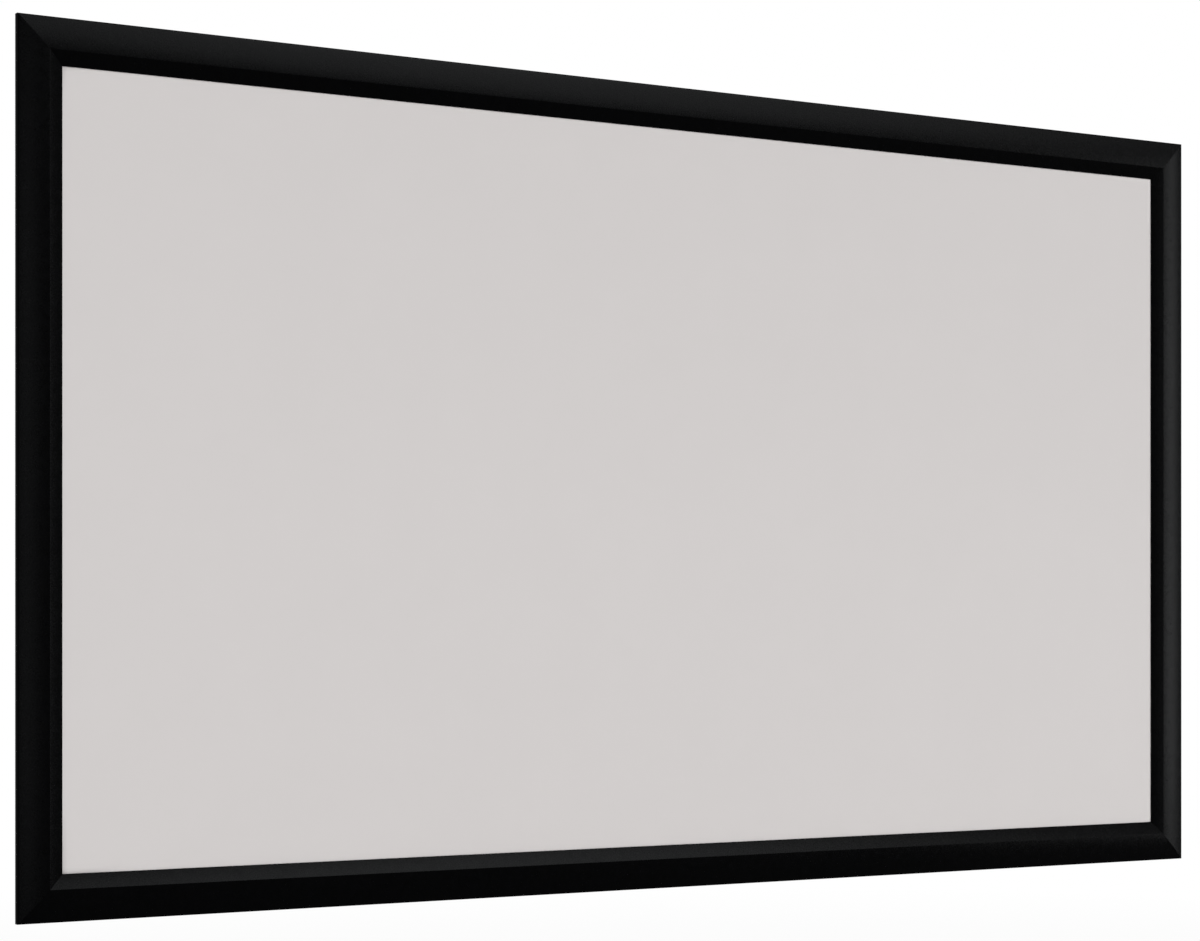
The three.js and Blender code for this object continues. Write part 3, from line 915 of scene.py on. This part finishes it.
def screen_sheet():
    name = "projection_surface"
    points, faces, edges = flat_part()
    for side in sides:
        add_hem(side, edges[side.name], points, faces)
    front_paint, back_paint = sheet_front_paint(), sheet_back_paint()
    materials = [front_paint, back_paint, front_paint]
    mesh = mesh_from(name, points, faces)
    piece = shown(name, mesh, materials, ["screen_surface"])
    # The modifier gives the back the second material, and the cut edges the third.
    thick = piece.modifiers.new("thickness", "SOLIDIFY")
    thick.thickness = SHEET_THICKNESS * MM
    thick.offset = 0
    thick.material_offset = 1
    thick.material_offset_rim = 2
    solid = evaluated(piece)
    piece.modifiers.clear()
    piece.data = solid
    solid.name = name


def tension_rod(side):
    end = side.length / 2 - RAIL_WIDTH - HEM_FROM_CORNER + ROD_SHOWS
    shoulder = end - ROD_CHAMFER
    rings = []
    for along, less in ((-end, ROD_CHAMFER), (-shoulder, 0), (shoulder, 0), (end, ROD_CHAMFER)):
        ring = circle(rod_radius - less, rod_in, rod_level)
        rings.append([at(side, along, x, y) for x, y in ring])
    name = f"{side.name}_rod"
    paint = rod_paint[side.run]
    shown(name, rings_mesh(name, rings), [paint], [f"{side.name}_tension_rod"])


# Springs
def spring_wire_path():
    """Centre line of the wire, in (across, inward, level): loop, coil and hook in one piece."""
    wire_radius = SPRING_WIRE / 2
    loop_radius = rod_radius + FIT_GAP + wire_radius
    rod = Vector((rod_in, rod_level))
    hook = Vector((catch_edge - WALL / 2, catch_top + FIT_GAP + wire_radius))
    along = (hook - rod).normalized()
    aside = Vector((-along.y, along.x))
    coil_start = loop_radius + SPRING_NECK
    coil_radius = (SPRING_DIAMETER - SPRING_WIRE) / 2
    entry = math.atan2(along.y, along.x) - LOOP_ENTRY
    path = []
    for i in range(LOOP_STEPS, -1, -1):
        angle = entry - LOOP_SWEEP * i / LOOP_STEPS
        spot = rod + Vector((math.cos(angle), math.sin(angle))) * loop_radius
        path.append((0, *spot))
    path.append((0, *(rod + along * (coil_start - LOOP_LEAD))))
    total = SPRING_TURNS * COIL_TURN_STEPS
    inner_barrel = SPRING_BARREL - SPRING_WIRE
    for i in range(total + 1):
        turned = i / COIL_TURN_STEPS
        ramp = min(1, turned / SPRING_RAMP_TURNS, (SPRING_TURNS - turned) / SPRING_RAMP_TURNS)
        radius = coil_radius * math.sin(ramp * math.pi / 2)
        reach = coil_start + wire_radius + inner_barrel * i / total
        spot = rod + along * reach + aside * radius * math.cos(2 * math.pi * turned)
        path.append((radius * math.sin(2 * math.pi * turned), *spot))
    corner_in = catch_edge - WALL
    corner = (FIT_GAP + wire_radius) * math.sqrt(0.5)
    down = corner_in - FIT_GAP - wire_radius
    path.append((0, *(rod + along * (coil_start + SPRING_BARREL + HOOK_LEAD))))
    path.append((0, *hook))
    path.append((0, corner_in - corner * HOOK_OUT, catch_top + corner * HOOK_RISE))
    path.append((0, corner_in - corner, catch_top + corner))
    path.append((0, down - HOOK_BULGE, catch_top + corner * HOOK_FALL))
    path.append((0, down, catch_top - wire_radius))
    path.append((0, down, catch_floor + FIT_GAP + SPRING_WIRE))
    return path


def tube(name, path, radius):
    """A closed tube of round wire along a path of points in metres."""
    curve = bpy.data.curves.new(name, "CURVE")
    curve.dimensions = "3D"
    curve.bevel_depth = radius
    curve.bevel_resolution = WIRE_BEVEL_STEPS
    curve.use_fill_caps = True
    spline = curve.splines.new("POLY")
    spline.points.add(len(path) - 1)
    for point, spot in zip(spline.points, path):
        point.co = (*spot, 1)
    holder = put(name, curve)
    mesh = evaluated(holder)
    bpy.data.objects.remove(holder)
    mesh.name = name
    mesh.materials.clear()
    mesh.shade_smooth()
    return mesh


def springs():
    path = spring_wire_path()
    for side in sides:
        for number, place in enumerate(spring_places(side), 1):
            name = f"{side.name}_coil_{number}"
            spots = [at(side, place + across, inward, level) for across, inward, level in path]
            mesh = tube(name, spots, SPRING_WIRE / 2 * MM)
            shown(name, mesh, [wire_paint], [f"{side.name}_spring_{number}"])


# Screws, bar, clips and wall plates
def grub_screw(name, side, along):
    """A set screw with thread crests, chamfered ends and a hexagon socket that faces the back."""
    radius = SCREW_DIAMETER / 2

    def hexagon(angle):
        sector = (angle + math.pi / 6) % (math.pi / 3) - math.pi / 6
        return SCREW_SOCKET / 2 / math.cos(sector)

    def ring(size, level):
        """A ring round the screw's axis. Its size is a radius, or gives the radius at an angle."""
        spots = []
        for i in range(SCREW_SIDES):
            angle = 2 * math.pi * i / SCREW_SIDES
            reach = size(angle) if callable(size) else size
            x, y = reach * math.cos(angle), reach * math.sin(angle)
            spots.append(at(side, along + x, screw_line + y, level))
        return spots

    end = SCREW_SINK + SCREW_LENGTH
    socket_end = SCREW_SINK + SCREW_SOCKET_DEPTH
    rings = [ring(radius - SCREW_CHAMFER, end), ring(radius, end - SCREW_CHAMFER)]
    level = end - SCREW_CHAMFER - THREAD_PITCH
    while level > SCREW_SINK + SCREW_CHAMFER + THREAD_PITCH / 2:
        rings.append(ring(radius - THREAD_DEPTH, level + THREAD_PITCH / 2))
        rings.append(ring(radius, level))
        level -= THREAD_PITCH
    rings += [
        ring(radius, SCREW_SINK + SCREW_CHAMFER),
        ring(radius - SCREW_CHAMFER, SCREW_SINK),
        ring(hexagon, SCREW_SINK),
        ring(hexagon, socket_end - SCREW_SOCKET_TIP),
        ring(SCREW_SOCKET_TIP, socket_end),
    ]
    mesh = rings_mesh(f"{name}_set", rings)
    shown(f"{name}_set", mesh, [screw_paint], [name])


def corner_screws():
    for side in sides:
        kind = "rail" if side.run == "X" else "stile"
        for end in (-1, 1):
            along = end * (side.length / 2 - SCREW_FROM_CORNER)
            spot = at(side, along, screw_line, 0)
            up = "top" if spot.z > 0 else "bottom"
            across = "right" if spot.x > 0 else "left"
            grub_screw(f"corner_screw_{up}_{across}_{kind}", side, along)


def support_bar():
    half = overall_height / 2 - bar_start

    def box(less):
        """The bar's outline, a distance inside its outer one."""
        across = BAR_WIDTH / 2 - less
        low_level, high_level = BAR_LEVEL + less, BAR_LEVEL + BAR_DEPTH - less
        corner = max(BAR_CORNER - less, EXTRUSION_CORNER)
        return rounded([
            (-across, low_level, corner),
            (across, low_level, corner),
            (across, high_level, corner),
            (-across, high_level, corner),
        ])

    def place(along, across, level):
        return Vector((across, frame_depth / 2 - level, along)) * MM

    mesh = prism("centre_bar", box(0), place, lambda across: half, box(BAR_WALL))
    shown("centre_bar", mesh, [bar_paint], ["support_bar"])


def bar_clip(side):
    """A hook over the catch with a plug that goes into the bar's end."""
    head = catch_edge + FIT_GAP
    shoulder = head + CLIP_WALL
    plug_end = bar_start + CLIP_PLUG
    plug_low = BAR_LEVEL + BAR_WALL + FIT_GAP
    plug_high = BAR_LEVEL + BAR_DEPTH - BAR_WALL - FIT_GAP
    tip = catch_edge - WALL - FIT_GAP
    tip_back = tip - min(CLIP_WALL, tip - rib_edge - FIT_GAP)
    tip_level = catch_floor + FIT_GAP
    over = catch_top + FIT_GAP
    outline = rounded([
        (head, BAR_LEVEL, CLIP_EDGE_RADIUS),
        (shoulder, BAR_LEVEL, CLIP_EDGE_RADIUS),
        (shoulder, plug_low, CLIP_INNER_RADIUS),
        (plug_end, plug_low, CLIP_PLUG_RADIUS),
        (plug_end, plug_high, CLIP_PLUG_RADIUS),
        (shoulder, plug_high, CLIP_INNER_RADIUS),
        (shoulder, over + CLIP_WALL, CLIP_HOOK_RADIUS),
        (tip_back, over + CLIP_WALL, CLIP_HOOK_RADIUS),
        (tip_back, tip_level, CLIP_EDGE_RADIUS),
        (tip, tip_level, CLIP_EDGE_RADIUS),
        (tip, over, CLIP_INNER_RADIUS),
        (head, over, CLIP_INNER_RADIUS),
    ])
    half = BAR_WIDTH / 2 - BAR_WALL - FIT_GAP
    name = f"bar_clip_{side.name}"
    mesh = prism(name, outline, straight(side, 0), lambda inward: half)
    shown(name, mesh, [clip_paint], [f"support_bar_clip_{side.name}"])


def wall_plate(side, place, node):
    """A plate on the wall that is folded into a hook for the catch, with two screw holes."""
    hook_under = catch_edge + FIT_GAP
    hook_end = rib_edge + HOOK_CLEARANCE
    plate_end = hook_under + PLATE_HEIGHT
    fold_face = hook_under + PLATE_THICKNESS
    over = catch_top + FIT_GAP
    inside, outside = PLATE_BEND_RADIUS, PLATE_BEND_RADIUS + PLATE_THICKNESS
    outline = rounded([
        (hook_under, 0, outside),
        (plate_end, 0, PLATE_EDGE_RADIUS),
        (plate_end, PLATE_THICKNESS, PLATE_EDGE_RADIUS),
        (fold_face, PLATE_THICKNESS, inside),
        (fold_face, over + PLATE_THICKNESS, outside),
        (hook_end, over + PLATE_THICKNESS, PLATE_EDGE_RADIUS),
        (hook_end, over, PLATE_EDGE_RADIUS),
        (hook_under, over, inside),
    ])
    name = f"{node}_plate"
    mesh = prism(name, outline, straight(side, place), lambda inward: PLATE_WIDTH / 2)
    hole_line = (fold_face + plate_end) / 2
    drill_end = PLATE_THICKNESS + DRILL_PAST
    holes = []
    for end in (-1, 1):
        along = place + end * PLATE_HOLE_SPACING / 2
        holes.append(stud(side, along, hole_line, PLATE_HOLE / 2, -DRILL_PAST, drill_end))
    shown(name, drilled(name, mesh, holes), [zinc_paint], [node])


def wall_plates():
    for side in (bottom, top):
        for end, end_name in ((-1, "left"), (1, "right")):
            towards = end if side is bottom else -end
            place = towards * WALL_BRACKET_PITCHES * side.pitch
            wall_plate(side, place, f"wall_bracket_{side.name}_{end_name}")


def dress_corner_brackets():
    """The corner angles sit inside the moulding, so they keep their solids and get the plating."""
    for name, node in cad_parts.items():
        if name.startswith("corner_bracket"):
            node.data.materials.clear()
            node.data.materials.append(zinc_paint)


# Stage and lamps
def camera_sees(tree):
    """1 for rays from the camera and for those that gloss or glass sends on."""
    rays = tree.nodes.new("ShaderNodeLightPath")
    total = rays.outputs["Is Camera Ray"]
    for name in ("Is Glossy Ray", "Is Transmission Ray"):
        add = tree.nodes.new("ShaderNodeMath")
        add.operation = "MAXIMUM"
        tree.links.new(total, add.inputs[0])
        tree.links.new(rays.outputs[name], add.inputs[1])
        total = add.outputs[0]
    return total


def floor():
    z = low.z - FLOOR_BELOW
    ring = [(x, y, z) for x, y in circle(FLOOR_RADIUS, count=FLOOR_SIDES)]
    mesh = bpy.data.meshes.new("floor")
    mesh.from_pydata(ring, [], [tuple(range(FLOOR_SIDES))])
    put("floor", mesh)
    paint = Paint("floor_paint", (0.86, 0.86, 0.86), roughness=0.7, specular=0.2)
    paint.shade(paint.noise(scale=3, detail=3), dark=0.99, light=1.01)
    level_place = {0: paint.place, 1: (1, 1, 0)}
    flat = paint.node("ShaderNodeVectorMath", level_place, operation="MULTIPLY")
    away = paint.node("ShaderNodeVectorMath", {0: flat.outputs[0]}, operation="LENGTH")
    rim = paint.range(away.outputs["Value"], FLOOR_WHITE, 1, FLOOR_PLAIN, FLOOR_FADED)
    share = paint.math("MULTIPLY", rim, camera_sees(paint.tree))
    white = paint.node("ShaderNodeEmission", {"Color": (1, 1, 1, 1), "Strength": 1.0})
    mix = paint.node("ShaderNodeMixShader", {"Fac": share})
    paint.tree.links.new(paint.shader.outputs[0], mix.inputs[1])
    paint.tree.links.new(white.outputs[0], mix.inputs[2])
    output = paint.tree.nodes["Material Output"]
    paint.tree.links.new(mix.outputs[0], output.inputs["Surface"])
    mesh.materials.append(paint.material)


def surround():
    """A world that shows white and lights the object at its own plain level."""
    world = bpy.data.worlds.new("surround")
    world.use_nodes = True
    bpy.context.scene.world = world
    tree = world.node_tree
    lit = tree.nodes["Background"]
    white = tree.nodes.new("ShaderNodeBackground")
    for shader, strength in ((lit, SURROUND_LEVEL), (white, 1)):
        shader.inputs["Color"].default_value = (1, 1, 1, 1)
        shader.inputs["Strength"].default_value = strength
    mix = tree.nodes.new("ShaderNodeMixShader")
    tree.links.new(camera_sees(tree), mix.inputs[0])
    tree.links.new(lit.outputs[0], mix.inputs[1])
    tree.links.new(white.outputs[0], mix.inputs[2])
    tree.links.new(mix.outputs[0], tree.nodes["World Output"].inputs["Surface"])


def sun(name, azimuth, elevation, strength, softness):
    """A soft lamp at an azimuth to the right of the viewer's side and an elevation, in degrees."""
    lamp = bpy.data.lights.new(name, "SUN")
    lamp.energy = strength
    lamp.angle = math.radians(softness)
    a, e = math.radians(azimuth), math.radians(elevation)
    towards = Vector((math.sin(a) * math.cos(e), -math.cos(a) * math.cos(e), math.sin(e)))
    holder = put(name, lamp)
    holder.rotation_mode = "QUATERNION"
    holder.rotation_quaternion = towards.to_track_quat("Z", "Y")
    holder.location = towards * SUN_DISTANCE


# Everything is built here, in order.
for side in sides:
    tension_rod(side)
    moulding(side)
screen_sheet()
springs()
corner_screws()
support_bar()
bar_clip(bottom)
bar_clip(top)
wall_plates()
dress_corner_brackets()
floor()
surround()
for lamp in LAMPS:
    sun(*lamp)

camera = bpy.data.cameras.new("camera")
camera.lens = CAMERA_LENS
camera.sensor_width = CAMERA_SENSOR
camera.shift_y = CAMERA_SHIFT
camera.dof.use_dof = False
camera.clip_start = CAMERA_NEAR
camera.clip_end = CAMERA_FAR
viewer = put("camera", camera)
viewer.location = CAMERA_PLACE
viewer.rotation_euler = (math.radians(90), 0, math.radians(-CAMERA_YAW))
bpy.context.scene.camera = viewer
bpy.context.scene.view_settings.view_transform = "Standard"
